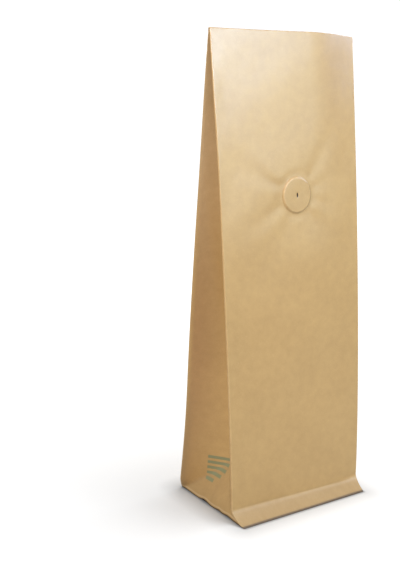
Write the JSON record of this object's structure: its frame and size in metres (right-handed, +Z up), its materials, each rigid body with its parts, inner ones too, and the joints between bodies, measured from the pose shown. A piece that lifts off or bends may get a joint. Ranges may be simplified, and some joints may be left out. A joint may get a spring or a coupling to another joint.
{
  "type": "flat-bottom bag",
  "caption": "Tall shut kraft-paper bag with folded side gussets, a flared hem round its flat base, a pressed top edge and a round one-way valve on the front panel.",
  "frame": {"origin": "middle of the base, on the surface that the bag stands on", "axes": "+X to the right along the front panel, front panel faces -Y, +Z up the bag"},
  "size_m": [0.1054, 0.0676, 0.284],
  "materials": {
    "kraft_paper": "satin natural kraft paper with fine fibres, soft crease wear and a small plain print on one gusset",
    "valve_face": "kraft paper pressed over a plastic disc, with a dark slit"
  },
  "bodies": {
    "root": {"bag": "kraft_paper", "valve": "valve_face"}
  },
  "joints": []
}
